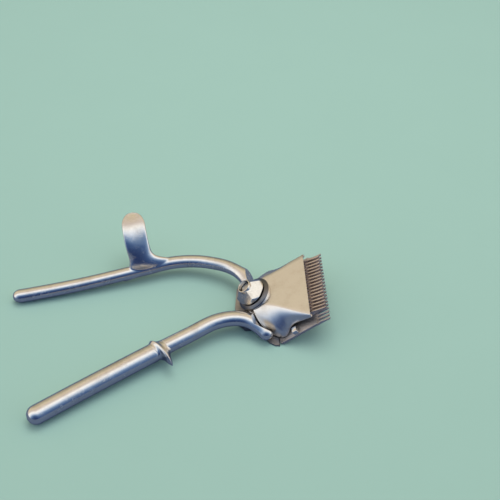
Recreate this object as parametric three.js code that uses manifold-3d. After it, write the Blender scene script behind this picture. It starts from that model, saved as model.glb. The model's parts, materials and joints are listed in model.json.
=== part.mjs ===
// Hand-operated (squeeze) hair clipper, millimetres, +Z up.
// The clipper lies on its heel and on the tips of its two handles. The blades point up and
// forward at the pitch angle, and the pivot stud stands square to the blade plane.
import * as THREE from 'three';
import * as BufferGeometryUtils from 'three/addons/utils/BufferGeometryUtils.js';
import Module from 'manifold-3d';

const wasm = await Module();
wasm.setup();

// ---------------------------------------------------------------- driving dimensions
const BLADE_PITCH = THREE.MathUtils.degToRad(38);
const STUD_FOOT_Z = -0.2; // height of the blade plane where the stud's axis meets it
const GAP = 0.3; // clearance between touching pieces

const TOOTH_PITCH = 2.3;
const LOWER_TEETH = 21;
const LOWER_THICK = 1.5;
const LOWER_TIP_X = 35;
const LOWER_REAR_X = 2.4;
const UPPER_TEETH = 17;
const UPPER_THICK = 3;
const UPPER_TIP_X = 34.6;
const UPPER_REAR_X = 16;
const UPPER_OFFSET_Y = 1.9; // the cutter's centre at rest

const STUD_R = 3;
const STUD_BOTTOM = 3.3;
const BOSS_R = 8.4;
const BOSS_TOP = 8; // heights of the stack on the stud, above the blade plane
const EYE_BOTTOM = 8.6;
const EYE_TOP = 14.6;
const EYE_R = 9.6;
const ARM_THICK = 2.2;
const CAP_REAR_TOP = 17.8;
const COLLAR_R = 10.2;
const COLLAR_TOP = 20;
const NUT_BOTTOM = 20.9;
const NUT_SHOULDER = 27;
const NUT_R = 8.4;
const NUT_TOP = 28;

const DRIVE_R = 12; // distance from the stud to the drive pin
const SWING = THREE.MathUtils.degToRad(22); // of the moving handle, from open to closed
const DRIVE_PHASE = SWING / 2;
const CAP_WALL = 1.4;
const CAP_CREASE = THREE.MathUtils.degToRad(25); // where the cap's walls leave its flat top

// Fasteners of the head: the same pair on the near side (-Y) and the far side (+Y).
const ENDS = [['near', -1], ['far', 1]];
const SCREW_R = 1.3;
const SCREW_X = 4.6;
const SCREW_Y = 8;
const DOWEL_R = 1;
const DOWEL_Y = 13.2;
const CAP_DOWEL_X = 2.5;
const CAP_DOWEL_Y = 11.3;
const STOP_X = -7;
const STOP_Y = 13.2;
const RIVET_R = 1;
const RIVETS = [['front', -11], ['rear', -16]];
const RIVET_Y = -13.4;
const PIN_FOOT = 2.3; // height of the frame's floor under its rivets and stop pin
const GUIDE_Y = 22.8;

// ---------------------------------------------------------------- helpers
function toSolid(geometry) {
  const clean = geometry.clone();
  clean.deleteAttribute('normal');
  clean.deleteAttribute('uv');
  const merged = BufferGeometryUtils.mergeVertices(clean, 1e-4);
  return new wasm.Manifold(new wasm.Mesh({
    numProp: 3,
    vertProperties: new Float32Array(merged.attributes.position.array),
    triVerts: new Uint32Array(merged.index.array),
  }));
}

function toGeometry(solid) {
  const mesh = solid.getMesh();
  const geometry = new THREE.BufferGeometry();
  geometry.setAttribute('position', new THREE.BufferAttribute(mesh.vertProperties, 3));
  geometry.setIndex(new THREE.BufferAttribute(mesh.triVerts, 1));
  geometry.computeVertexNormals();
  return geometry;
}

// An upright cylinder between two heights.
function rod(radius, bottom, top, x = 0, y = 0, sides = 32) {
  const geometry = new THREE.CylinderGeometry(radius, radius, top - bottom, sides);
  geometry.rotateX(Math.PI / 2);
  geometry.translate(x, y, (bottom + top) / 2);
  return toSolid(geometry);
}

// A profile of [radius, height] points turned about the Z axis.
function turned(profile) {
  const geometry = new THREE.LatheGeometry(profile.map(([r, h]) => new THREE.Vector2(r, h)), 32);
  geometry.rotateX(Math.PI / 2);
  return toSolid(geometry);
}

function block(x0, x1, y0, y1, z0, z1) {
  const geometry = new THREE.BoxGeometry(x1 - x0, y1 - y0, z1 - z0);
  geometry.translate((x0 + x1) / 2, (y0 + y1) / 2, (z0 + z1) / 2);
  return toSolid(geometry);
}

function ring(outer, inner, bottom, top, x = 0, y = 0) {
  return rod(outer, bottom, top, x, y).subtract(rod(inner, bottom - 1, top + 1, x, y));
}

function plate(points, bottom, top) {
  const shape = new THREE.Shape(points.map(([x, y]) => new THREE.Vector2(x, y)));
  const geometry = new THREE.ExtrudeGeometry(shape, { depth: top - bottom, bevelEnabled: false });
  geometry.translate(0, 0, bottom);
  return toSolid(geometry);
}

// A closed skin through rings of points; every ring has the same number of points.
function skin(rings) {
  const count = rings[0].length;
  const positions = rings.flat().flatMap((p) => [p.x, p.y, p.z]);
  const index = [];
  for (let i = 0; i + 1 < rings.length; i += 1) {
    for (let j = 0; j < count; j += 1) {
      const k = (j + 1) % count;
      const a = i * count;
      const b = a + count;
      index.push(a + j, a + k, b + k, a + j, b + k, b + j);
    }
  }
  [0, rings.length - 1].forEach((i) => {
    const centre = rings[i].reduce((sum, p) => sum.add(p), new THREE.Vector3());
    centre.divideScalar(count);
    const middle = positions.length / 3;
    positions.push(centre.x, centre.y, centre.z);
    for (let j = 0; j < count; j += 1) {
      const k = (j + 1) % count;
      const edge = i === 0 ? [k, j] : [i * count + j, i * count + k];
      index.push(edge[0], edge[1], middle);
    }
  });
  const geometry = new THREE.BufferGeometry();
  geometry.setAttribute('position', new THREE.Float32BufferAttribute(positions, 3));
  geometry.setIndex(index);
  return toSolid(geometry);
}

// A bar along a curve. size(t) gives its half width and half height, and the ends are domed.
function bar(points, size, steps, sides = 20, side = null) {
  const curve = new THREE.CatmullRomCurve3(points.map((p) => new THREE.Vector3(...p)));
  const rings = [];
  for (let i = 0; i <= steps; i += 1) {
    const t = i / steps;
    const centre = curve.getPointAt(t);
    const along = curve.getTangentAt(t);
    const across = side ? side.clone() : new THREE.Vector3(0, 0, 1).cross(along);
    across.addScaledVector(along, -across.dot(along)).normalize();
    const up = new THREE.Vector3().crossVectors(along, across);
    const [halfWidth, halfHeight] = size(t);
    rings.push(Array.from({ length: sides }, (_, j) => {
      const angle = (2 * Math.PI * j) / sides;
      return centre.clone()
        .addScaledVector(across, halfWidth * Math.cos(angle))
        .addScaledVector(up, halfHeight * Math.sin(angle));
    }));
  }
  return skin(rings);
}

// Radius factor of a domed end: 0.15 at the very end, 1 from `length` on.
function dome(t, length) {
  const u = Math.min(1, Math.max(0, t / length));
  return Math.max(0.15, Math.sqrt(1 - (1 - u) ** 2));
}

function material(color, roughness, metalness = 1) {
  return new THREE.MeshStandardMaterial({ color, roughness, metalness });
}

const polished = material(0xc9c4ba, 0.22);
const ground = material(0x8d857c, 0.45);
const dark = material(0x5a5a5a, 0.4);
const brass = material(0xb08d57, 0.35);

const clipper = new THREE.Group();
const head = new THREE.Group();
head.position.z = STUD_FOOT_Z;
head.rotation.y = -BLADE_PITCH;
head.updateMatrix();
clipper.add(head);

function add(parent, name, solid, finish) {
  const mesh = new THREE.Mesh(toGeometry(solid), finish);
  mesh.name = name;
  parent.add(mesh);
}

// A solid drawn in the table's frame, given in the head's frame, and the other way round.
const headToTable = head.matrix.clone();
const tableToHead = head.matrix.clone().invert();

function moved(solid, matrix) {
  const geometry = toGeometry(solid);
  geometry.applyMatrix4(matrix);
  return toSolid(geometry);
}

// ---------------------------------------------------------------- blades
// Outline of a comb whose teeth point along +X.
function combOutline(teeth, tipX, rootX, rear) {
  const half = (teeth * TOOTH_PITCH) / 2;
  const points = [];
  for (let i = 0; i < teeth; i += 1) {
    const y = -half + i * TOOTH_PITCH;
    const land = TOOTH_PITCH * 0.62;
    points.push([tipX, y], [tipX, y + land]);
    if (i + 1 < teeth) {
      points.push([rootX, y + land], [rootX, y + TOOTH_PITCH]);
    }
  }
  return [...points, ...rear];
}

function wedgeCut(solid, fromX, fromZ, slope, halfWidth) {
  const geometry = new THREE.BoxGeometry(40, 2 * halfWidth, 10);
  geometry.translate(20, 0, 5);
  geometry.rotateY(slope);
  geometry.translate(fromX, 0, fromZ);
  return solid.subtract(toSolid(geometry));
}

function lowerBlade() {
  const rootX = LOWER_TIP_X - 7;
  const heelY = (LOWER_TEETH * TOOTH_PITCH) / 2 + 1.3;
  const r = 1.4;
  const corner = new THREE.EllipseCurve(LOWER_REAR_X + r, heelY - r, r, r, Math.PI / 2, Math.PI);
  const far = corner.getPoints(6).map((p) => [p.x, p.y]);
  const near = far.map(([x, y]) => [x, -y]).reverse();
  const outline = combOutline(LOWER_TEETH, LOWER_TIP_X, rootX, [...far, ...near]);
  const bevelled = wedgeCut(plate(outline, -LOWER_THICK, 0), LOWER_TIP_X - 5.5, 0, 0.11, 30);
  const holes = ENDS.flatMap(([, sign]) => [
    rod(SCREW_R + GAP, -3, 1, SCREW_X, sign * SCREW_Y),
    rod(DOWEL_R + GAP, -3, 1, SCREW_X, sign * DOWEL_Y),
  ]);
  return holes.reduce((solid, hole) => solid.subtract(hole), bevelled);
}

// The drive pin's place at rest, in the head's plan.
const PIN_X = DRIVE_R * Math.cos(DRIVE_PHASE);
const PIN_Y = -DRIVE_R * Math.sin(DRIVE_PHASE);

function upperBlade() {
  const half = (UPPER_TEETH * TOOTH_PITCH) / 2;
  const tongue = [
    [UPPER_REAR_X, half - 1.5],
    [UPPER_REAR_X, 8],
    [UPPER_REAR_X - 7.4, 4.6],
    [UPPER_REAR_X - 7.4, -10],
    [UPPER_REAR_X, -12],
    [UPPER_REAR_X, -half + 1.5],
  ];
  const outline = combOutline(UPPER_TEETH, UPPER_TIP_X, UPPER_TIP_X - 7.5, tongue)
    .map(([x, y]) => [x, y + UPPER_OFFSET_Y]);
  const blank = plate(outline, GAP, GAP + UPPER_THICK);
  const bevelled = wedgeCut(blank, UPPER_TIP_X - 10.5, GAP + UPPER_THICK, 0.22, 30);
  return bevelled.subtract(block(PIN_X - 3.3, PIN_X + 3.6, PIN_Y - 2.8, PIN_Y + 2.8, -1, 6));
}

// ---------------------------------------------------------------- frame and fixed handle
const BASE_Z = 0.4;
const EYE_FLOOR_Z = 3.2; // the moving handle's eye is cut off flat here, above the frame
const BASE_THICK = 4.2;
const HEEL_THICK = 0.9;

function frameSolid(grow) {
  const outline = [
    [2.5, -14 - grow],
    [2.5, 15 + grow],
    [-13, 15 + grow],
    [-20.5 - grow, 12.5],
    [-22 - grow, -1],
    [-21 - grow, -10 - grow],
    [-17, -15 - grow],
  ];
  const heel = [
    [2.5, -26.3],
    [2.5, 0],
    [-15, 0],
    [-15, -13 - grow],
    [-6.8 - grow, -20.8 - grow],
    [-3.6, -24.4 - grow],
    [-0.6, -26.2 - grow],
  ];
  const base = plate(outline, BASE_Z, BASE_Z + BASE_THICK + grow)
    .add(plate(heel, BASE_Z, BASE_Z + HEEL_THICK + grow));
  const boss = rod(BOSS_R + grow, GAP, BOSS_TOP);
  const toe = block(-6, 7.2, -15.5 - grow, 15.5 + grow, GAP, 6 + grow);
  const above = block(-40, 40, -40, 40, BASE_Z, 40);
  const upper = moved(boss.add(toe), headToTable).intersect(above);
  const post = moved(block(9, 11.2, 15, 16.2, GAP, 9.6 + grow), headToTable);
  const shelf = moved(block(4, 11.2, 13, 16.2, GAP, 3), headToTable);
  const blade = moved(block(LOWER_REAR_X - 0.6, 60, -40, 40, -20, GAP), headToTable);
  const eyeRoom = moved(rod(EYE_R + 0.8, BOSS_TOP, 40), headToTable)
    .intersect(block(-60, 60, -60, 60, EYE_FLOOR_Z - 0.9, 60));
  return base.add(upper).add(shelf).add(post).subtract(blade).subtract(eyeRoom);
}

function headFrame() {
  const inHead = ENDS.flatMap(([, sign]) => [
    rod(SCREW_R + GAP, -2, 5, SCREW_X, sign * SCREW_Y),
    rod(DOWEL_R + GAP, -2, 3, SCREW_X, sign * DOWEL_Y),
    rod(DOWEL_R + GAP, 3.4, 9, CAP_DOWEL_X, sign * CAP_DOWEL_Y),
  ]);
  inHead.push(rod(STUD_R + GAP, 2, 20));
  const inTable = RIVETS.map(([, x]) => rod(RIVET_R + GAP, 2, 9, x, RIVET_Y));
  inTable.push(rod(DOWEL_R + GAP, 2, 9, STOP_X, STOP_Y));
  const holes = [...inHead.map((hole) => moved(hole, headToTable)), ...inTable];
  return holes.reduce((solid, hole) => solid.subtract(hole), frameSolid(0));
}

const FIXED_PATH = [
  [-130.6, -69, 5.4], [-100.8, -51.3, 6.2], [-65.2, -31.2, 7.6], [-48.7, -22.6, 8.6],
  [-33.7, -14.8, 9.5], [-24.1, -12.8, 9.5], [-16.9, -13.6, 9.2], [-11.3, -16.4, 8.4],
  [-7, -19.8, 6.8], [-3.4, -24.2, 4.8],
];
const GUARD_AT = [-65.2, -31.2, 7.6];
const GUARD_R = 5.7;
const GUARD_THICK = 2;
const GUARD_CORE_R = 3.2; // the handle is turned down to this inside the guard
const GUARD_YAW = THREE.MathUtils.degToRad(29.5);

// The grip is thicker up to the guard, halfway along.
function fixedSize(t) {
  const thick = 5.2 - 0.9 * THREE.MathUtils.smoothstep(t, 0.5, 0.56);
  const radius = thick * dome(t, 0.035) * dome(1 - t, 0.03);
  return [radius, radius];
}

function fixedHandle() {
  const solid = bar(FIXED_PATH, fixedSize, 56);
  const capRoom = plate([[-2.5, 40], [60, 40], [60, -25], [3, -22.6], [-2.5, -18.8]], -20, 40);
  const blade = block(LOWER_REAR_X - GAP, 60, -40, 40, -20, GAP);
  const pads = RIVETS.map(([, x]) => rod(2.4, 4, 9, x, RIVET_Y));
  const holes = RIVETS.map(([, x]) => rod(RIVET_R + GAP, -1, 8.6, x, RIVET_Y));
  const joined = pads.reduce((sum, pad) => sum.add(pad), solid);
  return holes.reduce((sum, hole) => sum.subtract(hole), joined)
    .subtract(frameSolid(GAP))
    .subtract(moved(blade.add(capRoom), headToTable))
    .subtract(guardSlot(GAP))
    .intersect(block(-200, 60, -120, 60, 0.2, 60));
}

// Finger guard: a thin fin around the handle, with a lug on the near side.
function guardSlot(grow) {
  const geometry = new THREE.CylinderGeometry(20, 20, GUARD_THICK + 2 * grow, 24);
  geometry.rotateZ(Math.PI / 2);
  geometry.rotateZ(GUARD_YAW);
  geometry.translate(...GUARD_AT);
  const core = new THREE.CylinderGeometry(GUARD_CORE_R, GUARD_CORE_R, 8, 24);
  core.rotateZ(Math.PI / 2);
  core.rotateZ(GUARD_YAW);
  core.translate(...GUARD_AT);
  return toSolid(geometry).subtract(toSolid(core));
}

function fingerGuard() {
  const shape = new THREE.Shape();
  shape.moveTo(0, GUARD_R);
  shape.absarc(0, 0, GUARD_R, Math.PI / 2, Math.PI * 1.5, false);
  shape.lineTo(9, -GUARD_R);
  shape.quadraticCurveTo(12.6, -GUARD_R, 12.6, -2.4);
  shape.quadraticCurveTo(12.4, 1.4, 8, 3);
  shape.quadraticCurveTo(4, GUARD_R, 0, GUARD_R);
  const hole = new THREE.Path();
  hole.absarc(0, 0, GUARD_CORE_R + GAP, 0, Math.PI * 2, true);
  shape.holes.push(hole);
  const geometry = new THREE.ExtrudeGeometry(shape, {
    depth: GUARD_THICK, bevelEnabled: false, curveSegments: 10,
  });
  geometry.translate(0, 0, -GUARD_THICK / 2);
  geometry.applyMatrix4(new THREE.Matrix4().makeBasis(
    new THREE.Vector3(0, -1, 0),
    new THREE.Vector3(0, 0, 1),
    new THREE.Vector3(-1, 0, 0),
  ));
  geometry.rotateZ(GUARD_YAW);
  geometry.translate(...GUARD_AT);
  return toSolid(geometry);
}

// ---------------------------------------------------------------- moving handle
const MOVING_PATH = [
  [-149, 13.6, 4], [-138.6, 15, 4.4], [-110, 20, 5.5], [-74.8, 27.6, 7.5],
  [-57.1, 31.4, 8.5], [-43.3, 30.8, 9.5], [-32.5, 27.6, 10.5], [-25, 24, 11.2],
  [-18.7, 18.8, 11.8], [-13, 12.6, 11.6], [-9, 5, 10.6],
];
const TANG_PATH = [
  [-72, 26, 6.5], [-74.6, 29.4, 14], [-76.9, 33.7, 22.3], [-78.4, 40.5, 28.2],
  [-79.6, 50.8, 31.6],
];

const TANG_SIDE = new THREE.Vector3(0.95, 0.3, 0);

function leverSize(t) {
  const end = dome(t, 0.03);
  const flare = 3 * THREE.MathUtils.smoothstep(t, 0.86, 1);
  return [(3.9 - 0.4 * t) * end + flare, (3.9 - 0.2 * t) * end];
}

// A leaf that spreads into the bar at its foot.
function tangSize(t) {
  const end = dome(1 - t, 0.25);
  const spread = 9 * Math.max(0, 1 - t / 0.32) ** 2;
  return [(6.8 + spread) * end, (1.6 + 1.6 * (1 - t) ** 2) * Math.max(end, 0.5)];
}

function movingHandle() {
  const lever = bar(MOVING_PATH, leverSize, 56);
  const tang = bar(TANG_PATH, tangSize, 16, 20, TANG_SIDE);
  const arm = plate([
    [0, 6], [0, -6], [PIN_X, PIN_Y - 3.2], [PIN_X + 2.8, PIN_Y - 1.6],
    [PIN_X + 2.8, PIN_Y + 1.6], [12.5, 4.6], [8, 4.6],
  ], EYE_BOTTOM, EYE_BOTTOM + ARM_THICK);
  const eye = rod(EYE_R, EYE_BOTTOM, EYE_TOP - 1.3)
    .add(rod(EYE_R - 2, EYE_BOTTOM, EYE_TOP))
    .add(arm);
  const cuts = rod(COLLAR_R + 0.8, EYE_TOP, 40)
    .add(rod(BOSS_R + 1.2, -10, EYE_BOTTOM))
    .add(rod(4.8, -10, 40))
    .add(rod(1.8, -10, 40, PIN_X, PIN_Y));
  const capRoom = block(-2.6, 60, -40, 40, -20, 40);
  const aboveFloor = moved(block(-60, 60, -60, 60, EYE_FLOOR_Z, 60), tableToHead);
  const stillAbove = moved(aboveFloor, new THREE.Matrix4().makeRotationZ(-SWING));
  const trimmedEye = moved(eye.intersect(aboveFloor).intersect(stillAbove), headToTable);
  return lever.subtract(moved(capRoom, headToTable))
    .add(tang)
    .add(trimmedEye)
    .subtract(moved(cuts, headToTable));
}

// ---------------------------------------------------------------- pressure cap
// Stations from the rear to the front edge: place, top edge (y, h) and wall foot (y, h).
const CAP_STATIONS = [
  [-2, 8.6, 17.8, 17.6, 4.3],
  [2, 8.9, 17.6, 21, 1.2],
  [6, 9.6, 16.9, 22.8, 0.5],
  [9, 10.8, 15.6, 21.9, 1],
  [12, 12.4, 14.1, 20.4, 2.6],
  [16, 14.8, 12, 20.2, 3.9],
  [20, 17.5, 10, 21, 4.2],
  [24, 19.8, 8, 21.8, 4.6],
  [27.4, 21.8, 6.4, 22.6, 4.8],
];

// Half of the cap's section at one station, from the middle of the top to the wall's foot.
function capHalf([x, topY, topH, footY, footH], inset) {
  const top = [0, 0.5].map((u) => new THREE.Vector3(x, topY * u, topH - inset));
  const wall = Array.from({ length: 7 }, (_, i) => {
    const angle = CAP_CREASE + (Math.PI / 2 - CAP_CREASE) * (i / 6);
    const out = (Math.sin(angle) - Math.sin(CAP_CREASE)) / (1 - Math.sin(CAP_CREASE));
    const up = Math.cos(angle) / Math.cos(CAP_CREASE);
    return new THREE.Vector3(
      x,
      topY + (footY - inset - topY) * out,
      footH + (topH - inset - footH) * up,
    );
  });
  return [...top, ...wall];
}

function capSection(station) {
  const outer = capHalf(station, 0);
  const inner = capHalf(station, CAP_WALL);
  const mirror = (points) => points.slice(1).map((p) => new THREE.Vector3(p.x, -p.y, p.z));
  return [...mirror(outer).reverse(), ...outer, ...inner.reverse(), ...mirror(inner.reverse())];
}

// A shell whose sections are thin bent strips: the ring runs along the outside and back inside.
function stripShell(sections) {
  const count = sections[0].length;
  const positions = sections.flat().flatMap((p) => [p.x, p.y, p.z]);
  const index = [];
  for (let i = 0; i + 1 < sections.length; i += 1) {
    for (let j = 0; j < count; j += 1) {
      const k = (j + 1) % count;
      const a = i * count;
      const b = a + count;
      index.push(a + j, b + k, a + k, a + j, b + j, b + k);
    }
  }
  [0, sections.length - 1].forEach((i) => {
    const a = i * count;
    for (let j = 0; j + 1 < count / 2; j += 1) {
      const quad = [a + j, a + j + 1, a + count - 2 - j, a + count - 1 - j];
      const [p, q, r, s] = i === 0 ? quad : quad.slice().reverse();
      index.push(p, q, r, p, r, s);
    }
  });
  const geometry = new THREE.BufferGeometry();
  geometry.setAttribute('position', new THREE.Float32BufferAttribute(positions, 3));
  geometry.setIndex(index);
  return toSolid(geometry);
}

// The station at u from 0 to 1, on smooth curves through the table's columns.
function stationAt(u) {
  return CAP_STATIONS[0].map((_, column) => {
    const points = CAP_STATIONS.map((station, i) => new THREE.Vector2(i, station[column]));
    return new THREE.SplineCurve(points).getPoint(u).y;
  });
}

function pressureCap() {
  const steps = 20;
  const sections = Array.from({ length: steps + 1 }, (_, i) => capSection(stationAt(i / steps)));
  const shell = stripShell(sections);
  const seat = rod(COLLAR_R - 0.5, CAP_REAR_TOP - 2, CAP_REAR_TOP);
  const rib = block(19.5, 22, -16, 16, GAP + UPPER_THICK + GAP, 8.6);
  return shell.add(seat).add(rib).subtract(rod(STUD_R + GAP, 0, 40));
}

// ---------------------------------------------------------------- stack on the stud
function stud() {
  const top = NUT_TOP - 1.4;
  const chamfer = 0.7;
  return turned([
    [0, STUD_BOTTOM], [STUD_R, STUD_BOTTOM], [STUD_R, top - chamfer], [STUD_R - chamfer, top], [0, top],
  ]);
}

function collarWasher() {
  const hole = STUD_R + 1;
  const bottom = CAP_REAR_TOP + GAP;
  return turned([
    [hole, bottom], [COLLAR_R, bottom], [COLLAR_R, COLLAR_TOP - 1.2],
    [COLLAR_R - 1.6, COLLAR_TOP], [hole, COLLAR_TOP], [hole, bottom],
  ]);
}

// A round nut with four flats that slope in to its shoulder, and a round boss on top.
function tensionNut() {
  const height = NUT_SHOULDER - NUT_BOTTOM;
  const topR = 3.1 * Math.SQRT2;
  const footR = 8.2 * Math.SQRT2;
  const flats = new THREE.CylinderGeometry(topR, footR, height, 4);
  flats.rotateX(Math.PI / 2);
  flats.rotateZ(THREE.MathUtils.degToRad(15));
  flats.translate(0, 0, NUT_BOTTOM + height / 2);
  const body = rod(NUT_R, NUT_BOTTOM, NUT_SHOULDER).intersect(toSolid(flats));
  const boss = rod(4, NUT_SHOULDER - 1, NUT_TOP);
  return body.add(boss).subtract(rod(STUD_R + GAP, 0, NUT_TOP + 1));
}

// ---------------------------------------------------------------- return spring
const SPRING_X = 10.4;
const SPRING_H = EYE_BOTTOM + ARM_THICK / 2;
const SPRING_Y0 = 5.4;
const SPRING_Y1 = 14.4;
const SPRING_TURNS = 4;
const SPRING_COIL_R = 1.7;
const SPRING_WIRE_R = 0.4;

class SpringCurve extends THREE.Curve {
  getPoint(t, target = new THREE.Vector3()) {
    const angle = 2 * Math.PI * SPRING_TURNS * t;
    return target.set(
      SPRING_X + SPRING_COIL_R * Math.cos(angle),
      SPRING_Y0 + (SPRING_Y1 - SPRING_Y0) * t,
      SPRING_H + SPRING_COIL_R * Math.sin(angle),
    );
  }
}

function returnSpring() {
  const circle = new THREE.EllipseCurve(0, 0, SPRING_WIRE_R, SPRING_WIRE_R).getPoints(6);
  const wire = new THREE.Shape(circle.slice(0, -1));
  const geometry = new THREE.ExtrudeGeometry(wire, {
    steps: 64, bevelEnabled: false, extrudePath: new SpringCurve(),
  });
  return toSolid(geometry);
}

// ---------------------------------------------------------------- assembly
add(head, 'lower_blade', lowerBlade(), ground);
add(head, 'upper_blade', upperBlade(), ground);
add(clipper, 'head_frame', headFrame(), ground);
add(clipper, 'fixed_handle', fixedHandle(), polished);
add(clipper, 'moving_handle', movingHandle(), polished);
add(head, 'pressure_cap', pressureCap(), polished);
add(head, 'stud', stud(), dark);
add(head, 'pivot_bush', ring(4.5, STUD_R + GAP, EYE_BOTTOM, EYE_TOP), brass);
add(head, 'thrust_washer', ring(6, STUD_R + GAP, BOSS_TOP + 0.15, EYE_BOTTOM - 0.15), brass);
add(head, 'collar_washer', collarWasher(), dark);
add(head, 'spring_washer', ring(5, STUD_R + GAP, COLLAR_TOP + 0.2, NUT_BOTTOM - 0.2), dark);
add(head, 'tension_nut', tensionNut(), polished);
add(head, 'drive_pin', rod(1.5, 1, EYE_BOTTOM + ARM_THICK - 0.2, PIN_X, PIN_Y), dark);
add(head, 'drive_roller', ring(2.5, 1.8, 0.7, 3.2, PIN_X, PIN_Y), brass);
add(head, 'return_spring', returnSpring(), dark);
ENDS.forEach(([end, sign]) => {
  const screw = rod(SCREW_R, 0.3 - LOWER_THICK, 4.5, SCREW_X, sign * SCREW_Y);
  const dowel = rod(DOWEL_R, 0.1 - LOWER_THICK, 2.6, SCREW_X, sign * DOWEL_Y);
  const capDowel = rod(DOWEL_R, 3.7, 13.4, CAP_DOWEL_X, sign * CAP_DOWEL_Y);
  add(head, `blade_screw_${end}`, screw, dark);
  add(head, `blade_dowel_${end}`, dowel, dark);
  add(head, `cap_dowel_${end}`, capDowel, dark);
  const guide = block(12.2, 15.4, sign * GUIDE_Y - 1.8, sign * GUIDE_Y + 1.8, GAP, 3);
  add(head, `cutter_guide_${end}`, guide, ground);
});
RIVETS.forEach(([end, x]) => {
  add(clipper, `handle_rivet_${end}`, rod(RIVET_R, PIN_FOOT, 8.3, x, RIVET_Y), dark);
});
add(clipper, 'stop_pin', rod(DOWEL_R, PIN_FOOT, 9.4, STOP_X, STOP_Y), dark);
add(clipper, 'finger_guard', fingerGuard(), polished);

// The origin is the middle of the footprint, on the surface that the clipper lies on.
const box = new THREE.Box3().setFromObject(clipper, true);
clipper.position.set(-(box.min.x + box.max.x) / 2, -(box.min.y + box.max.y) / 2, -box.min.z);

export default clipper;
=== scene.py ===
"""Looks of the hand-squeezed hair clipper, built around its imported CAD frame.

Shapes are drawn in millimetres in one of two frames: the table's (+X towards the teeth, +Z up) or
the head's (+X towards the teeth, +Z square to the blades, origin where the stud meets them).
"""

import json
import math

import bmesh
import bpy
from mathutils import Matrix, Vector


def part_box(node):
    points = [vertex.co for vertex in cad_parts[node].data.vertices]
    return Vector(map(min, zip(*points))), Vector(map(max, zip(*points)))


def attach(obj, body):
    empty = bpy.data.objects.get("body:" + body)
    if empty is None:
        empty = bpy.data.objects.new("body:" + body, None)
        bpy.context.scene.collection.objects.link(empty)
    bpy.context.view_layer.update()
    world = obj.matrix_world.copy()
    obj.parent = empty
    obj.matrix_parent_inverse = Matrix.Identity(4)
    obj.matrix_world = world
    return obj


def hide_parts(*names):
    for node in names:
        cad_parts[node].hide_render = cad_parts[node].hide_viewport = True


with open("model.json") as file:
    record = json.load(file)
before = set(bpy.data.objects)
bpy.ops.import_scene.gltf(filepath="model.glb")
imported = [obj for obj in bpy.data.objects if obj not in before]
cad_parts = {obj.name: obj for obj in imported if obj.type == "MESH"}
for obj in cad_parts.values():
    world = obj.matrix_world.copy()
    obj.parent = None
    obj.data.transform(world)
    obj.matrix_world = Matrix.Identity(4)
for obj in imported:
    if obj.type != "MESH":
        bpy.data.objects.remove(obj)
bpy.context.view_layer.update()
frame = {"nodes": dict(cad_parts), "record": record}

# ---------------------------------------------------------------- frames
MM = 0.001
PITCH = math.radians(38)
STUD_FOOT = Vector((0, 0, -0.2))
RIVET_MIDDLE = Vector((-11, -13.4, 5.3))  # the front rivet's middle in the table's frame

low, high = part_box("handle_rivet_front")
TABLE = Matrix.Translation((low + high) / 2 / MM - RIVET_MIDDLE)
HEAD = TABLE @ Matrix.Translation(STUD_FOOT) @ Matrix.Rotation(-PITCH, 4, "Y")
METRES = Matrix.Scale(MM, 4)  # pieces are drawn in millimetres and scaled down at the end

# ---------------------------------------------------------------- sizes shared with the CAD
TOOTH_PITCH = 2.3
TOOTH_HALF_SHARE = 0.31  # half a tooth's width, as a share of the pitch
LOWER_TEETH = 21
LOWER_THICK = 1.5
LOWER_TIP_X = 35
LOWER_REAR_X = 2.4
UPPER_TEETH = 17
UPPER_THICK = 3
UPPER_TIP_X = 34.6
UPPER_REAR_X = 16
UPPER_OFFSET_Y = 1.9
GAP = 0.3
GUIDE_Y = 22.8
STUD_R = 3
EYE_BOTTOM = 8.6
EYE_TOP = 14.6
EYE_R = 9.6
EYE_BORE_R = 4.8
EYE_STEP = 1.3  # the eye's rim is this much lower than its middle
EYE_FLOOR_Z = 3.2
ARM_THICK = 2.2
BOSS_R = 8.4
CAP_TOP = 17.8
CAP_WALL = 1.4
CAP_CREASE = math.radians(25)
COLLAR_R = 10.2
COLLAR_TOP = 20
NUT_BOTTOM = 20.9
NUT_SHOULDER = 27
NUT_R = 8.4
NUT_BOSS_R = 4
NUT_FLAT_FOOT = 8.2  # distance of the flats from the axis, at the foot and at the shoulder
NUT_FLAT_TOP = 3.1
NUT_TURN = math.radians(15)
NUT_TOP = 28


# ---------------------------------------------------------------- mesh helpers
def link(name, bm):
    """An object from a bmesh, with its faces turned outwards."""
    bmesh.ops.recalc_face_normals(bm, faces=bm.faces)
    mesh = bpy.data.meshes.new(name)
    bm.to_mesh(mesh)
    bm.free()
    obj = bpy.data.objects.new(name, mesh)
    bpy.context.scene.collection.objects.link(obj)
    return obj


def lofted(name, rings, matrix, closed=False):
    """A skin through rings of points, with flat ends or, if closed, joined end to end."""
    bm = bmesh.new()
    loops = [[bm.verts.new(matrix @ Vector(p)) for p in ring] for ring in rings]
    for a, b in zip(loops, loops[1:] + loops[:1] if closed else loops[1:]):
        for i in range(len(a)):
            j = (i + 1) % len(a)
            bm.faces.new((a[i], a[j], b[j], b[i]))
    if not closed:
        bm.faces.new(loops[0])
        bm.faces.new(loops[-1])
    return link(name, bm)


def prism(name, outline, bottom, top, matrix):
    return lofted(name, [[(x, y, z) for x, y in outline] for z in (bottom, top)], matrix)


def block(name, x, y, z, matrix):
    outline = [(x[0], y[0]), (x[1], y[0]), (x[1], y[1]), (x[0], y[1])]
    return prism(name, outline, z[0], z[1], matrix)


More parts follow.
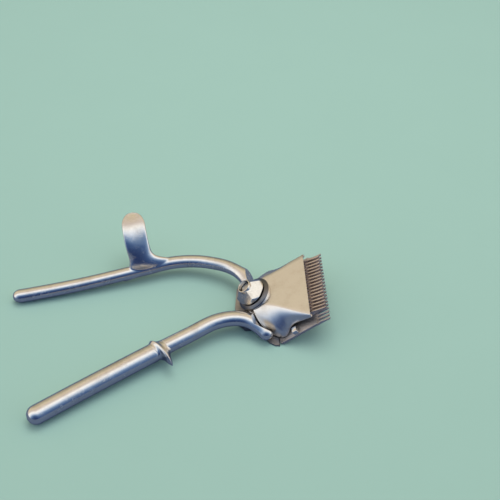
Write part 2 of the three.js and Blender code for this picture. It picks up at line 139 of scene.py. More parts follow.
def turned(name, profile, matrix, sides=96, centre=(0, 0)):
    """A profile of (radius, height) points, from axis to axis or closed, turned about the Z axis."""
    bm = bmesh.new()
    columns = []
    for k in range(sides):
        angle = 2 * math.pi * k / sides
        columns.append([
            bm.verts.new(matrix @ Vector((
                centre[0] + r * math.cos(angle), centre[1] + r * math.sin(angle), h)))
            for r, h in profile
        ])
    closed = profile[0][0] > 0
    steps = len(profile) if closed else len(profile) - 1
    for k in range(sides):
        a, b = columns[k], columns[(k + 1) % sides]
        for i in range(steps):
            j = (i + 1) % len(profile)
            bm.faces.new((a[i], a[j], b[j], b[i]))
    bmesh.ops.remove_doubles(bm, verts=bm.verts, dist=1e-4)
    return link(name, bm)


def rounded(profile, radius, steps=4):
    """The corners of a (radius, height) profile, rounded off."""
    points = []
    count = len(profile)
    for i, corner in enumerate(profile):
        here = Vector(corner)
        before, after = Vector(profile[i - 1]), Vector(profile[(i + 1) % count])
        room = min(radius, (before - here).length / 2, (after - here).length / 2)
        start = here + (before - here).normalized() * room
        end = here + (after - here).normalized() * room
        for k in range(steps + 1):
            t = k / steps
            points.append(tuple(start * (1 - t) ** 2 + here * 2 * t * (1 - t) + end * t * t))
    return points


def drilled(name, outer, hole, bottom, top, matrix, centre=(0, 0), edge=0.25):
    """A ring or washer with rounded edges."""
    profile = rounded([(hole, bottom), (outer, bottom), (outer, top), (hole, top)], edge)
    return turned(name, profile, matrix, centre=centre)


def modify(obj, kind, **settings):
    modifier = obj.modifiers.new(kind.title(), kind)
    for key, value in settings.items():
        setattr(modifier, key, value)
    return obj


def baked(obj):
    """Applies the object's modifiers."""
    graph = bpy.context.evaluated_depsgraph_get()
    mesh = bpy.data.meshes.new_from_object(obj.evaluated_get(graph))
    obj.modifiers.clear()
    obj.data = mesh
    return obj


def combined(obj, other, operation):
    """Boolean of two objects; the second one is used up."""
    modify(obj, "BOOLEAN", object=other, operation=operation, solver="EXACT")
    baked(obj)
    bpy.data.objects.remove(other)
    return obj


def bevelled(obj, width, segments=3, angle=35):
    modify(
        obj, "BEVEL", width=width, segments=segments, limit_method="ANGLE",
        angle_limit=math.radians(angle), miter_outer="MITER_ARC", harden_normals=False,
    )
    return baked(obj)


def piece(obj, body, material, slot, *nodes, sharp=40):
    """Shades a finished mesh, gives it its material and hands it to the frame."""
    obj.data.transform(METRES)
    obj.data.shade_smooth()
    obj.data.set_sharp_from_angle(angle=math.radians(sharp))
    obj.data.materials.clear()
    obj.data.materials.append(material)
    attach(obj, body)
    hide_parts(*nodes)
    return obj


# ---------------------------------------------------------------- curves
def smoothstep(t, start, end):
    u = min(1.0, max(0.0, (t - start) / (end - start)))
    return u * u * (3 - 2 * u)


def spline(points, u):
    """Point at u, counted in control points, of a centripetal spline through points."""
    last = len(points) - 1
    i = min(int(u), last - 1)
    w = u - i
    p1, p2 = Vector(points[i]), Vector(points[i + 1])
    p0 = Vector(points[i - 1]) if i > 0 else p1 * 2 - p2
    p3 = Vector(points[i + 2]) if i + 2 <= last else p2 * 2 - p1
    d0, d1, d2 = [math.sqrt((b - a).length) for a, b in ((p0, p1), (p1, p2), (p2, p3))]
    m1 = ((p1 - p0) / d0 - (p2 - p0) / (d0 + d1) + (p2 - p1) / d1) * d1
    m2 = ((p2 - p1) / d1 - (p3 - p1) / (d1 + d2) + (p3 - p2) / d2) * d1
    return (
        p1 * (2 * w**3 - 3 * w**2 + 1) + m1 * (w**3 - 2 * w**2 + w)
        + p2 * (3 * w**2 - 2 * w**3) + m2 * (w**3 - w**2)
    )


def evenly(points, count, fine=40):
    """Points at equal steps along a spline, with its tangents."""
    last = len(points) - 1
    dense = [spline(points, last * k / (fine * last)) for k in range(fine * last + 1)]
    lengths = [0.0]
    for a, b in zip(dense, dense[1:]):
        lengths.append(lengths[-1] + (b - a).length)
    found, k = [], 0
    for i in range(count + 1):
        goal = lengths[-1] * i / count
        while k < len(dense) - 2 and lengths[k + 1] < goal:
            k += 1
        share = (goal - lengths[k]) / (lengths[k + 1] - lengths[k])
        found.append((dense[k].lerp(dense[k + 1], share), (dense[k + 1] - dense[k]).normalized()))
    return found


def dome(t, length):
    """Radius factor of a rounded end at t 0."""
    u = min(1.0, max(0.0, t / length))
    return max(0.02, math.sqrt(1 - (1 - u) ** 2))


def swept(name, points, section, matrix, count, sides=48, side=None):
    """A bar along a spline. section(t, angle) gives a point as (across, up)."""
    rings = []
    samples = evenly(points, count)
    for i, (centre, along) in enumerate(samples):
        t = i / count
        across = (side or Vector((0, 0, 1)).cross(along)).copy()
        across = (across - along * across.dot(along)).normalized()
        up = along.cross(across)
        ring = []
        for j in range(sides):
            a, b = section(t, 2 * math.pi * j / sides)
            ring.append(centre + across * a + up * b)
        rings.append(ring)
    return lofted(name, rings, matrix)


# ---------------------------------------------------------------- materials
class Graph:
    """Short ways to write a shader's nodes. Lengths in the object's own space are in millimetres."""

    def __init__(self, name):
        self.material = bpy.data.materials.new(name)
        self.material.use_nodes = True
        self.tree = self.material.node_tree
        self.shader = self.tree.nodes["Principled BSDF"]
        coordinates = self.tree.nodes.new("ShaderNodeTexCoord")
        self.space = self.mapped(coordinates.outputs["Object"], (1 / MM,) * 3)

    def node(self, kind, **inputs):
        made = self.tree.nodes.new(kind)
        for key, value in inputs.items():
            self.put(made.inputs[key], value)
        return made

    def put(self, socket, value):
        if isinstance(value, bpy.types.NodeSocket):
            self.tree.links.new(value, socket)
        else:
            socket.default_value = value

    def mapped(self, vector, scale, turn=(0, 0, 0)):
        made = self.tree.nodes.new("ShaderNodeMapping")
        made.vector_type = "POINT"
        self.put(made.inputs["Vector"], vector)
        made.inputs["Rotation"].default_value = turn
        made.inputs["Scale"].default_value = scale
        return made.outputs["Vector"]

    def noise(self, vector, scale, detail=3.0, roughness=0.55, distortion=0.0):
        made = self.tree.nodes.new("ShaderNodeTexNoise")
        self.put(made.inputs["Vector"], vector)
        made.inputs["Scale"].default_value = scale
        made.inputs["Detail"].default_value = detail
        made.inputs["Roughness"].default_value = roughness
        made.inputs["Distortion"].default_value = distortion
        return made.outputs["Fac"]

    def ramp(self, value, start, end, low=0.0, high=1.0):
        made = self.tree.nodes.new("ShaderNodeMapRange")
        made.interpolation_type = "SMOOTHSTEP"
        self.put(made.inputs["Value"], value)
        for key, number in (("From Min", start), ("From Max", end), ("To Min", low), ("To Max", high)):
            made.inputs[key].default_value = number
        return made.outputs["Result"]

    def math(self, operation, a, b):
        made = self.tree.nodes.new("ShaderNodeMath")
        made.operation = operation
        self.put(made.inputs[0], a)
        self.put(made.inputs[1], b)
        return made.outputs["Value"]

    def mix(self, factor, a, b):
        made = self.tree.nodes.new("ShaderNodeMix")
        made.data_type = "RGBA"
        self.put(made.inputs["Factor"], factor)
        self.put(made.inputs[6], a)
        self.put(made.inputs[7], b)
        return made.outputs[2]

    def scratches(self, vector, turns, scale, width):
        """Thin lines in several directions: where stretched noise crosses its middle value."""
        total = None
        for turn in turns:
            stretched = self.mapped(vector, (0.04, 1, 1), turn)
            value = self.noise(stretched, scale, detail=1.0, roughness=0.4, distortion=0.15)
            far = self.math("ABSOLUTE", self.math("SUBTRACT", value, 0.5), 0.0)
            line = self.ramp(far, 0.0, width, 1.0, 0.0)
            broken = self.ramp(self.noise(vector, 0.35, detail=1.0), 0.5, 0.62)
            line = self.math("MULTIPLY", line, broken)
            total = line if total is None else self.math("MAXIMUM", total, line)
        return total

    def pits(self, vector, scale, size):
        """Small round pits at the middles of scattered cells."""
        made = self.tree.nodes.new("ShaderNodeTexVoronoi")
        self.put(made.inputs["Vector"], vector)
        made.inputs["Scale"].default_value = scale
        here = self.ramp(made.outputs["Distance"], 0.0, size, 1.0, 0.0)
        some = self.ramp(self.noise(vector, 0.5, detail=0.0), 0.52, 0.6)
        return self.math("MULTIPLY", here, some)

    def bump(self, height, distance, strength, normal=None):
        made = self.tree.nodes.new("ShaderNodeBump")
        made.inputs["Distance"].default_value = distance * MM
        made.inputs["Strength"].default_value = strength
        self.put(made.inputs["Height"], height)
        if normal is not None:
            self.put(made.inputs["Normal"], normal)
        return made.outputs["Normal"]


SCRATCH_TURNS = [(0.2, 0.4, 0.5), (0.9, -0.3, 1.9), (-0.5, 0.8, 2.7)]


def metal(name, colour, stain, roughness, stain_amount=0.35, grain=0.3, scratch=0.5,
          pit=0.6, wave=0.15, grain_scale=4.0):
    """Bare or plated metal: blotches of tarnish, fine scratches, pits and a little waviness."""
    g = Graph(name)
    space = g.space
    blotch = g.ramp(g.noise(space, 0.11, detail=5.0, roughness=0.65), 0.42, 0.68)
    speck = g.ramp(g.noise(space, 1.3, detail=4.0, roughness=0.7), 0.5, 0.75)
    lines = g.scratches(space, SCRATCH_TURNS, 1.6, 0.012)
    pits = g.pits(space, 0.9, 0.16)
    fine = g.noise(space, grain_scale, detail=3.0, roughness=0.7)
    dirt = g.math("MULTIPLY", g.math("MAXIMUM", blotch, g.math("MULTIPLY", speck, 0.6)), stain_amount)
    base = g.mix(dirt, (*colour, 1), (*stain, 1))
    base = g.mix(g.math("MULTIPLY", pits, pit), base, (0.09, 0.08, 0.075, 1))
    g.put(g.shader.inputs["Base Color"], base)
    rough = g.math("ADD", g.math("MULTIPLY", blotch, 0.07), g.math("MULTIPLY", lines, 0.2 * scratch))
    rough = g.math("ADD", rough, g.math("MULTIPLY", fine, 0.1 * grain))
    rough = g.math("ADD", rough, roughness)
    g.put(g.shader.inputs["Roughness"], rough)
    g.shader.inputs["Metallic"].default_value = 1.0
    normal = g.bump(g.noise(space, 0.16, detail=1.0), 0.12, wave)
    normal = g.bump(fine, 0.03, grain, normal)
    normal = g.bump(g.math("MAXIMUM", lines, pits), -0.02, scratch, normal)
    g.put(g.shader.inputs["Normal"], normal)
    return g.material


PLATING = metal("nickel_plating", (0.80, 0.78, 0.75), (0.55, 0.50, 0.44), 0.16, grain=0.12)
CAP_PLATING = metal(
    "cap_plating", (0.84, 0.81, 0.77), (0.68, 0.61, 0.52), 0.27,
    grain=0.5, grain_scale=3.5, stain_amount=0.4, wave=0.02, scratch=0.2,
)
NUT_PLATING = metal("nut_plating", (0.80, 0.77, 0.71), (0.5, 0.44, 0.36), 0.15, grain=0.12)
FRAME_STEEL = metal(
    "frame_steel", (0.42, 0.40, 0.39), (0.22, 0.19, 0.17), 0.42, grain=0.5, stain_amount=0.6)
BLADE_STEEL = metal(
    "blade_steel", (0.6, 0.57, 0.56), (0.4, 0.36, 0.34), 0.45, grain=0.6, stain_amount=0.6)
CUTTER_STEEL = metal(
    "cutter_steel", (0.68, 0.60, 0.56), (0.42, 0.34, 0.31), 0.4, grain=0.5, stain_amount=0.6)
DARK_STEEL = metal("dark_steel", (0.2, 0.2, 0.21), (0.1, 0.09, 0.08), 0.3, grain=0.3)
BRASS = metal("brass", (0.72, 0.52, 0.26), (0.35, 0.22, 0.1), 0.3)
PIN_STEEL = metal("pin_steel", (0.5, 0.5, 0.5), (0.25, 0.22, 0.2), 0.3)

SLOT_MATERIALS = {
    "handle_plating": PLATING,
    "cap_plating": CAP_PLATING,
    "nut_plating": NUT_PLATING,
    "frame_steel": FRAME_STEEL,
    "blade_steel": BLADE_STEEL,
    "cutter_steel": CUTTER_STEEL,
    "dark_steel": DARK_STEEL,
    "stud_steel": PIN_STEEL,
    "spring_steel": DARK_STEEL,
    "brass": BRASS,
    "fastener_steel": PIN_STEEL,
}


# ---------------------------------------------------------------- handles
FIXED_PATH = [
    (-130.6, -69, 5.4), (-100.8, -51.3, 6.2), (-65.2, -31.2, 7.6), (-48.7, -22.6, 8.6),
    (-33.7, -14.8, 9.5), (-24.1, -12.8, 9.5), (-16.9, -13.6, 9.2), (-11.3, -16.4, 8.4),
    (-7, -19.8, 6.8), (-3.4, -24.2, 4.8),
]
MOVING_PATH = [
    (-149, 13.6, 4), (-138.6, 15, 4.4), (-110, 20, 5.5), (-74.8, 27.6, 7.5),
    (-57.1, 31.4, 8.5), (-43.3, 30.8, 9.5), (-32.5, 27.6, 10.5), (-25, 24, 11.2),
    (-18.7, 18.8, 11.8), (-13, 12.6, 11.6), (-9, 5, 10.6),
]
TANG_PATH = [
    (-72, 27.6, 7.2), (-74.6, 29.4, 14), (-76.9, 33.7, 22.3), (-78.4, 40.5, 28.2),
    (-79.6, 50.8, 31.6),
]
TANG_SIDE = Vector((0.975, 0.22, 0.03))
GUARD_AT = Vector((-65.2, -31.2, 7.6))
GUARD_YAW = math.radians(29.5)
GUARD_START = -3.0  # along the bar, from the middle of the fin
GUARD_LENGTH = 10.0
GUARD_SLANT = 1.6  # how far the fin's outer side leans towards the head
SWING = math.radians(22)
PIN_X = 12 * math.cos(math.radians(11))
PIN_Y = -12 * math.sin(math.radians(11))
FAR = 60  # reaches past everything


def fixed_section(t, angle):
    radius = 5.2 - 0.9 * smoothstep(t, 0.5, 0.53)
    radius *= dome(t, 0.035) * dome(1 - t, 0.03)
    return radius * math.cos(angle), radius * math.sin(angle)


def fixed_handle():
    obj = swept("fixed_handle_bar", FIXED_PATH, fixed_section, TABLE, 260, sides=64)
    room = [(-2.5, 40), (FAR, 40), (FAR, -25), (3, -22.6), (-2.5, -18.8)]
    combined(obj, prism("cap_room", room, -20, 40, HEAD), "DIFFERENCE")
    blade = block("blade_room", (LOWER_REAR_X - GAP, FAR), (-40, 40), (-20, GAP), HEAD)
    combined(obj, blade, "DIFFERENCE")
    below = block("below", (-200, FAR), (-120, FAR), (-20, 0.2), TABLE)
    combined(obj, below, "DIFFERENCE")
    bevelled(obj, 0.35, angle=50)
    piece(obj, "frame", PLATING, "handle_plating", "fixed_handle")


def finger_guard():
    """A fin round the bar, drawn out into a lug on the outer side and faired towards the head."""
    along = Vector((math.cos(GUARD_YAW), math.sin(GUARD_YAW), 0))
    across = Vector((math.sin(GUARD_YAW), -math.cos(GUARD_YAW), 0))
    up = Vector((0, 0, 1))
    lug_angle = math.radians(-4)
    rings = []
    steps, around = 36, 96
    for i in range(steps + 1):
        s = GUARD_START + GUARD_LENGTH * (i / steps)
        seat = 5.18 - 0.9 * smoothstep(s, -0.5, 6.0)
        fair = math.exp(-s / 2.4) if s > 0 else 0
        ring = []
        for j in range(around):
            angle = 2 * math.pi * j / around
            lug = max(0.0, math.cos((angle - lug_angle) / 2)) ** 12
            width = (0.8 if s < 0 else 1.3) * (1 + 0.7 * lug)
            fin = max(0.0, 1 / (1 + (s / width) ** 4) - 0.04)
            radius = seat + fin * (0.9 + 6.2 * lug) + fair * (0.4 + 1.4 * lug)
            if i in (0, steps):
                radius = seat - 0.4
            ring.append(
                GUARD_AT + along * (s + GUARD_SLANT * math.cos(angle))
                + across * radius * math.cos(angle) + up * radius * math.sin(angle)
            )
        rings.append(ring)
    obj = lofted("finger_guard_fin", rings, TABLE)
    modify(obj, "SUBSURF", levels=1, render_levels=1)
    piece(baked(obj), "frame", PLATING, "handle_plating", "finger_guard", sharp=70)


def moving_section(t, angle):
    end = dome(t, 0.03)
    flare = 3 * smoothstep(t, 0.86, 1)
    return (
        ((3.9 - 0.4 * t) * end + flare) * math.cos(angle),
        (3.9 - 0.2 * t) * end * math.sin(angle),
    )


def tang_section(t, angle):
    """A leaf with a hollow face: its edges stand forward of its middle."""
    end = dome(1 - t, 0.25)
    half_width = (6.8 + 9 * max(0, 1 - t / 0.32) ** 2) * end
    half_height = (1.5 + 1.6 * (1 - t) ** 2) * max(end, 0.45)
    hollow = 1.3 * smoothstep(t, 0.25, 0.7) * math.cos(angle) ** 2
    return half_width * math.cos(angle), half_height * math.sin(angle) - hollow


def cylinder(radius, bottom, top, matrix, centre=(0, 0)):
    profile = [(0, bottom), (radius, bottom), (radius, top), (0, top)]
    return turned("cylinder", profile, matrix, centre=centre)


def joined(obj, *others):
    """One object from several, without a boolean."""
    bpy.ops.object.select_all(action="DESELECT")
    for each in (obj, *others):
        each.select_set(True)
    bpy.context.view_layer.objects.active = obj
    bpy.ops.object.join()
    return obj


def moving_handle():
    """Bar, tang, eye and drive arm, melted into one forging by a fine remesh."""
    obj = swept("moving_handle_forging", MOVING_PATH, moving_section, TABLE, 300, sides=64)
    cap_room = block("cap_room", (-2.6, FAR), (-40, 40), (-20, 40), HEAD)
    combined(obj, cap_room, "DIFFERENCE")
    combined(obj, cylinder(COLLAR_R + 0.8, EYE_TOP - 0.1, 40, HEAD), "DIFFERENCE")
    combined(obj, cylinder(BOSS_R, -10, 40, HEAD), "DIFFERENCE")
    tang = swept("tang", TANG_PATH, tang_section, TABLE, 80, sides=64, side=TANG_SIDE)
    eye = turned("eye", [
        (EYE_BORE_R, EYE_BOTTOM), (EYE_R, EYE_BOTTOM), (EYE_R, EYE_TOP - EYE_STEP),
        (EYE_R - 2, EYE_TOP - EYE_STEP), (EYE_R - 2, EYE_TOP), (EYE_BORE_R, EYE_TOP)], HEAD)
    for turn in (0, -SWING):
        below = block("below", (-FAR, FAR), (-FAR, FAR), (-20, EYE_FLOOR_Z), Matrix())
        below.data.transform(HEAD @ Matrix.Rotation(turn, 4, "Z") @ HEAD.inverted() @ TABLE)
        combined(eye, below, "DIFFERENCE")
    arm = prism("arm", [
        (0, 6), (0, -6), (PIN_X, PIN_Y - 3.2), (PIN_X + 2.8, PIN_Y - 1.6),
        (PIN_X + 2.8, PIN_Y + 1.6), (12.5, 4.6), (8, 4.6),
    ], EYE_BOTTOM, EYE_BOTTOM + ARM_THICK, HEAD)
    combined(arm, cylinder(5.5, 0, 40, HEAD), "DIFFERENCE")
    combined(arm, cylinder(1.8, 0, 40, HEAD, centre=(PIN_X, PIN_Y)), "DIFFERENCE")
    joined(obj, tang, eye, arm)
    modify(obj, "REMESH", mode="VOXEL", voxel_size=0.33)
    modify(obj, "SMOOTH", factor=0.5, iterations=10)
    piece(baked(obj), "lever", PLATING, "handle_plating", "moving_handle", sharp=60)


# ---------------------------------------------------------------- blades
def comb(name, teeth, tip, root, groove, rear, bottom, top, tip_height, offset, *cuts):
    """A comb blade, less the cuts given as further objects.

    Its teeth are ridges that run forward, grow apart at `root` and slope down to the tip.
    """
    half = teeth * TOOTH_PITCH / 2
    land = TOOTH_PITCH * TOOTH_HALF_SHARE
    stations = 26
    bm = bmesh.new()
    for tooth in range(teeth):
        middle = offset - half + TOOTH_PITCH * tooth + land
        rings = []
        for k in range(stations + 1):
            x = groove + (tip - groove) * k / stations
            slope = smoothstep(x, groove - 1, tip) * 0.5 + 0.5 * (x - groove) / (tip - groove)
            crest = top - (top - tip_height) * slope
            cut = smoothstep(x, root - 1.0, root + 0.6)
            depth = (x - groove) / (root - groove)
            valley = crest - (crest - bottom) * min(1.0, depth) ** 0.8
            foot = TOOTH_PITCH / 2 * (1 - cut) + land * cut
            narrowing = smoothstep(x, groove, groove + 2.5)
            ridge = TOOTH_PITCH / 2 + (land * 0.55 - TOOTH_PITCH / 2) * narrowing
            if cut > 0.99:
                valley = bottom + 0.25 * (crest - bottom)
            valley = max(valley, bottom + 0.12)
            if k == stations:
                foot *= 0.8
                ridge *= 0.75
            shoulder = (foot + ridge) / 2
            mid = valley + (crest - valley) * 0.72
            rings.append([
                (x, middle - foot, bottom), (x, middle - foot, valley),
                (x, middle - shoulder, mid), (x, middle - ridge, crest),
                (x, middle, crest + 0.02), (x, middle + ridge, crest),
                (x, middle + shoulder, mid), (x, middle + foot, valley),
                (x, middle + foot, bottom),
            ])
        loops = [[bm.verts.new(HEAD @ Vector(p)) for p in ring] for ring in rings]
        for a, b in zip(loops, loops[1:]):
            for i in range(len(a)):
                j = (i + 1) % len(a)
                bm.faces.new((a[i], a[j], b[j], b[i]))
        bm.faces.new(loops[0])
        bm.faces.new(loops[-1])
    teeth_obj = link(name + "_teeth", bm)
    start = offset - half + land - TOOTH_PITCH / 2
    end = offset + half - TOOTH_PITCH / 2 + land
    outline = [(groove + 0.02, start), (groove + 0.02, end)] + rear
    body = prism(name, outline, bottom, top, HEAD)
    bevelled(body, 0.2)
    for cut in cuts:
        combined(body, cut, "DIFFERENCE")
    return joined(body, teeth_obj)


def arc(centre, radius, start, end, steps):
    return [
        (centre[0] + radius * math.cos(start + (end - start) * k / steps),
         centre[1] + radius * math.sin(start + (end - start) * k / steps))
        for k in range(steps + 1)
    ]


def lower_blade():
    heel = LOWER_TEETH * TOOTH_PITCH / 2 + 1.3
    r = 1.4
    far = arc((LOWER_REAR_X + r, heel - r), r, math.pi / 2, math.pi, 16)
    near = [(x, -y) for x, y in reversed(far)]
    front = LOWER_TIP_X - 8
    outline = [(front, LOWER_TEETH * TOOTH_PITCH / 2)] + far + near
    outline.append((front, -LOWER_TEETH * TOOTH_PITCH / 2))
    obj = comb(
        "comb_blade", LOWER_TEETH, LOWER_TIP_X, LOWER_TIP_X - 7, front, outline,
        -LOWER_THICK, 0, -0.9, 0,
    )
    piece(obj, "frame", BLADE_STEEL, "blade_steel", "lower_blade", sharp=35)


def upper_blade():
    half = UPPER_TEETH * TOOTH_PITCH / 2
    rear = [
        (UPPER_REAR_X, half - 1.5 + UPPER_OFFSET_Y),
        (UPPER_REAR_X, 8 + UPPER_OFFSET_Y),
        (UPPER_REAR_X - 7.4, 4.6 + UPPER_OFFSET_Y),
        (UPPER_REAR_X - 7.4, -10 + UPPER_OFFSET_Y),
        (UPPER_REAR_X, -12 + UPPER_OFFSET_Y),
        (UPPER_REAR_X, -half + 1.5 + UPPER_OFFSET_Y),
    ]
    slot = block("slot", (PIN_X - 3.3, PIN_X + 3.6), (PIN_Y - 2.8, PIN_Y + 2.8), (-1, 6), HEAD)
    obj = comb(
        "cutter_blade", UPPER_TEETH, UPPER_TIP_X, UPPER_TIP_X - 7.5, UPPER_TIP_X - 10.8, rear,
        GAP, GAP + UPPER_THICK, 1.2, UPPER_OFFSET_Y, slot,
    )
    piece(obj, "cutter", CUTTER_STEEL, "cutter_steel", "upper_blade", sharp=35)


def cutter_guides():
    half_width = 1.8
    for end, sign in (("near", -1), ("far", 1)):
        y = sign * GUIDE_Y
        across = (y - half_width, y + half_width)
        obj = block("guide_" + end, (12.2, 15.4), across, (GAP - 0.2, 3), HEAD)
        bevelled(obj, 0.5, segments=4)
        piece(obj, "frame", PLATING, "blade_steel", "cutter_guide_" + end)


# ---------------------------------------------------------------- pressure cap
# From the rear to the front edge: place, top edge (y, h) and wall foot (y, h).
CAP_STATIONS = [
    (-2, 8.6, 17.8, 17.6, 4.3),
    (2, 8.9, 17.6, 21, 1.2),
    (6, 9.6, 16.9, 22.8, 0.5),
    (9, 10.8, 15.6, 21.9, 1),
    (12, 12.4, 14.1, 20.4, 2.6),
    (16, 14.8, 12, 20.2, 3.9),
    (20, 17.5, 10, 21, 4.2),
    (24, 19.8, 8, 21.8, 4.6),
    (27.4, 21.8, 6.4, 22.6, 4.8),
]


def cap_station(u):
    """The station at u from 0 to 1: a uniform spline through each column."""
    last = len(CAP_STATIONS) - 1
    x = u * last
    i = min(int(x), last - 1)
    w = x - i
    rows = [CAP_STATIONS[min(max(k, 0), last)] for k in (i - 1, i, i + 1, i + 2)]
    made = []
    for a, b, c, d in zip(*rows):
        v0, v1 = (c - a) / 2, (d - b) / 2
        made.append(
            (2 * b - 2 * c + v0 + v1) * w**3 + (3 * c - 3 * b - 2 * v0 - v1) * w**2 + v0 * w + b
        )
    return made


def pressure_cap():
    steps, around = 72, 26
    bm = bmesh.new()
    rows = []
    for i in range(steps + 1):
        x, top_y, top_h, foot_y, foot_h = cap_station(i / steps)
        half = [(top_y * k / 8, top_h) for k in range(8)]
        for k in range(around + 1):
            angle = CAP_CREASE + (math.pi / 2 - CAP_CREASE) * k / around
            out = (math.sin(angle) - math.sin(CAP_CREASE)) / (1 - math.sin(CAP_CREASE))
            up = math.cos(angle) / math.cos(CAP_CREASE)
            half.append((top_y + (foot_y - top_y) * out, foot_h + (top_h - foot_h) * up))
        both = [(-y, h) for y, h in reversed(half[1:])] + half
        rows.append([bm.verts.new(HEAD @ Vector((x, y, h))) for y, h in both])
    for a, b in zip(rows, rows[1:]):
        for i in range(len(a) - 1):
            bm.faces.new((a[i], a[i + 1], b[i + 1], b[i]))
    obj = link("pressure_cap_shell", bm)
    up = (HEAD.to_3x3() @ Vector((0, 0, 1))).normalized()
    middle = max(obj.data.polygons, key=lambda p: p.center.dot(up))
    outward = 1.0 if middle.normal.dot(up) > 0 else -1.0
    modify(
        obj, "SOLIDIFY", thickness=CAP_WALL, offset=-outward, use_even_offset=True)
    baked(obj)
    bevelled(obj, 0.3, segments=3, angle=50)
    piece(obj, "frame", CAP_PLATING, "cap_plating", "pressure_cap", sharp=50)
    seat = drilled("cap_seat", COLLAR_R - 0.5, STUD_R + GAP, CAP_TOP - 2, CAP_TOP, HEAD)
    piece(seat, "frame", CAP_PLATING, "cap_plating", "pressure_cap")


# ---------------------------------------------------------------- stack on the stud
def collar_washer():
    profile = [
        (STUD_R + 1, CAP_TOP + GAP), (COLLAR_R, CAP_TOP + GAP), (COLLAR_R, COLLAR_TOP - 1.2),
        (COLLAR_R - 1.6, COLLAR_TOP), (STUD_R + 1, COLLAR_TOP),
    ]
    obj = turned("collar", rounded(profile, 0.45), HEAD, sides=128)
    piece(obj, "frame", DARK_STEEL, "dark_steel", "collar_washer")


def lower_of(a, b, blend=0.12):
    """The smaller of two lengths, with the corner between them rounded off."""
    return -blend * math.log(math.exp(-a / blend) + math.exp(-b / blend))


def tension_nut():
    """Round, with four flats that slope in to a shoulder, and a round boss with the stud in it."""
    hole = STUD_R + GAP
    edge = 0.3
    around, steps = 192, 36

    def ring(radius_at, height):
        angles = (2 * math.pi * k / around for k in range(around))
        return [(radius_at(a) * math.cos(a), radius_at(a) * math.sin(a), height) for a in angles]

    def outer(height):
        share = (height - NUT_BOTTOM) / (NUT_SHOULDER - NUT_BOTTOM)
        half = NUT_FLAT_FOOT + (NUT_FLAT_TOP - NUT_FLAT_FOOT) * share

        def radius_at(angle):
            off = (angle - NUT_TURN) % (math.pi / 2) - math.pi / 4
            return max(NUT_BOSS_R, lower_of(NUT_R, half / math.cos(off)))

        return radius_at

    rings = [
        ring(lambda a: hole, NUT_BOTTOM),
        ring(lambda a: outer(NUT_BOTTOM)(a) - edge, NUT_BOTTOM),
    ]
    for k in range(steps + 1):
        height = NUT_BOTTOM + edge + (NUT_SHOULDER - NUT_BOTTOM - edge) * k / steps
        rings.append(ring(outer(height), height))
    boss = [
        (NUT_BOSS_R, NUT_SHOULDER + 0.05), (NUT_BOSS_R, NUT_TOP - edge),
        (NUT_BOSS_R - 0.1, NUT_TOP - 0.08), (NUT_BOSS_R - edge, NUT_TOP),
        (hole + edge / 2, NUT_TOP), (hole, NUT_TOP - edge / 2),
    ]
    for radius, height in boss:
        rings.append(ring(lambda a: radius, height))
    body = lofted("tension_nut_body", rings, HEAD, closed=True)
    piece(body, "nut", NUT_PLATING, "nut_plating", "tension_nut", sharp=32)


def stud():
    """The stud's end shows in the nut's recess: slightly domed, with a chamfered rim."""
    top = NUT_TOP - 1.4
    dome_points = [(STUD_R * 0.78 * k / 6, top - 0.35 * (k / 6) ** 2) for k in range(7)]
    profile = [(0, 3.3), (STUD_R, 3.3), (STUD_R, top - 0.9)] + dome_points[::-1]
    obj = turned("pivot_stud", profile, HEAD)
    piece(obj, "frame", PIN_STEEL, "stud_steel", "stud")


def washers():
    bottom, top = COLLAR_TOP + 0.2, NUT_BOTTOM - 0.2
    obj = drilled("wave_washer", 5, STUD_R + GAP, bottom, top, HEAD, edge=0.15)
    piece(obj, "frame", DARK_STEEL, "dark_steel", "spring_washer")


# ---------------------------------------------------------------- scene
CAMERA_AT = Vector((-31.005, -305.117, 382.263))
CAMERA_AIM = Vector((-10.96, 46.96, 0.0))
CAMERA_LENS = 61.42
CAMERA_ROLL = math.radians(0.2)


def camera():
    data = bpy.data.cameras.new("camera")
    data.lens = CAMERA_LENS
    data.clip_start = 0.01
    data.clip_end = 20
    obj = bpy.data.objects.new("camera", data)
    bpy.context.scene.collection.objects.link(obj)
    obj.location = METRES @ TABLE @ CAMERA_AT
    look = (CAMERA_AIM - CAMERA_AT).to_track_quat("-Z", "Y").to_matrix()
    obj.rotation_euler = (look @ Matrix.Rotation(CAMERA_ROLL, 3, "Z")).to_euler()
    bpy.context.scene.camera = obj


def panel(name, place, aim, size, colour, energy):
    """A rectangular light that gives shade but isn't seen in reflections."""
    light = bpy.data.lights.new(name, "AREA")
    light.shape = "RECTANGLE"
    light.size, light.size_y = size
    light.color = colour
    light.energy = energy
    obj = bpy.data.objects.new(name, light)
    bpy.context.scene.collection.objects.link(obj)
    obj.location = place
    obj.rotation_euler = (Vector(aim) - Vector(place)).to_track_quat("-Z", "Y").to_euler()
    obj.visible_glossy = False


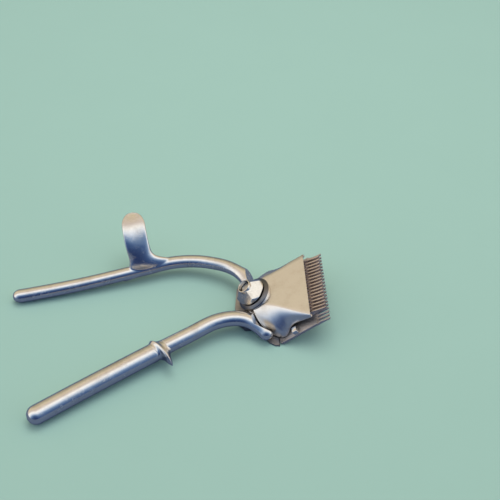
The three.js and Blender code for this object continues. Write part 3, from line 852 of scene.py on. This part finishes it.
def studio():
    """A green paper floor, painted dark blue-grey where it shows in reflections (a painted reflection
    on the parts), under a sky shaded along the Y axis.
    """
    bm = bmesh.new()
    bmesh.ops.create_grid(bm, x_segments=1, y_segments=1, size=3)
    floor = link("floor", bm)
    g = Graph("floor_paper_and_painted_reflection")
    tone = g.noise(g.space, 0.02, detail=3.0)
    paper = g.mix(tone, (0.315, 0.51, 0.45, 1), (0.325, 0.523, 0.463, 1))
    # Painted reflection: for glossy rays the floor is coloured dark blue-grey (0.10, 0.15, 0.25)
    # instead of its paper green, so the parts show a painted dark reflection of it.
    rays = g.tree.nodes.new("ShaderNodeLightPath")
    seen = g.mix(rays.outputs["Is Glossy Ray"], paper, (0.10, 0.15, 0.25, 1))
    g.put(g.shader.inputs["Base Color"], seen)
    g.shader.inputs["Roughness"].default_value = 0.9
    floor.data.materials.append(g.material)

    world = bpy.data.worlds.new("studio")
    bpy.context.scene.world = world
    world.use_nodes = True
    tree = world.node_tree
    background = tree.nodes["Background"]
    coordinates = tree.nodes.new("ShaderNodeTexCoord")
    axes = tree.nodes.new("ShaderNodeSeparateXYZ")
    tree.links.new(coordinates.outputs["Generated"], axes.inputs["Vector"])
    remap = tree.nodes.new("ShaderNodeMapRange")
    remap.inputs["From Min"].default_value = -1
    tree.links.new(axes.outputs["Y"], remap.inputs["Value"])
    ramp = tree.nodes.new("ShaderNodeValToRGB")
    tree.links.new(remap.outputs["Result"], ramp.inputs["Fac"])
    stops = [
        (0.0, (0.02, 0.04, 0.13)), (0.1, (0.06, 0.12, 0.29)), (0.2, (0.26, 0.4, 0.64)),
        (0.3, (0.95, 1.05, 1.2)), (0.44, (1.35, 1.33, 1.28)), (0.6, (0.8, 0.68, 0.6)),
        (0.78, (0.9, 0.76, 0.54)), (1.0, (0.3, 0.29, 0.22)),
    ]
    elements = ramp.color_ramp.elements
    while len(elements) < len(stops):
        elements.new(0.5)
    for element, (place, colour) in zip(elements, stops):
        element.position = place
        element.color = (*colour, 1)
    tree.links.new(ramp.outputs["Color"], background.inputs["Color"])
    background.inputs["Strength"].default_value = 0.92

    panel("top_light", (0.1, 0.25, 0.9), (0, 0, 0), (0.7, 0.5), (1.0, 0.97, 0.92), 4)


fixed_handle()
finger_guard()
moving_handle()
lower_blade()
upper_blade()
cutter_guides()
pressure_cap()
collar_washer()
tension_nut()
stud()
washers()

slots = {s["node"]: s["material_slot"] for s in frame["record"]["subparts"]}
for name, node in frame["nodes"].items():
    if not node.hide_render:
        node.data.materials.clear()
        node.data.materials.append(SLOT_MATERIALS[slots[name]])

camera()
studio()
bpy.context.scene.view_settings.view_transform = "Standard"
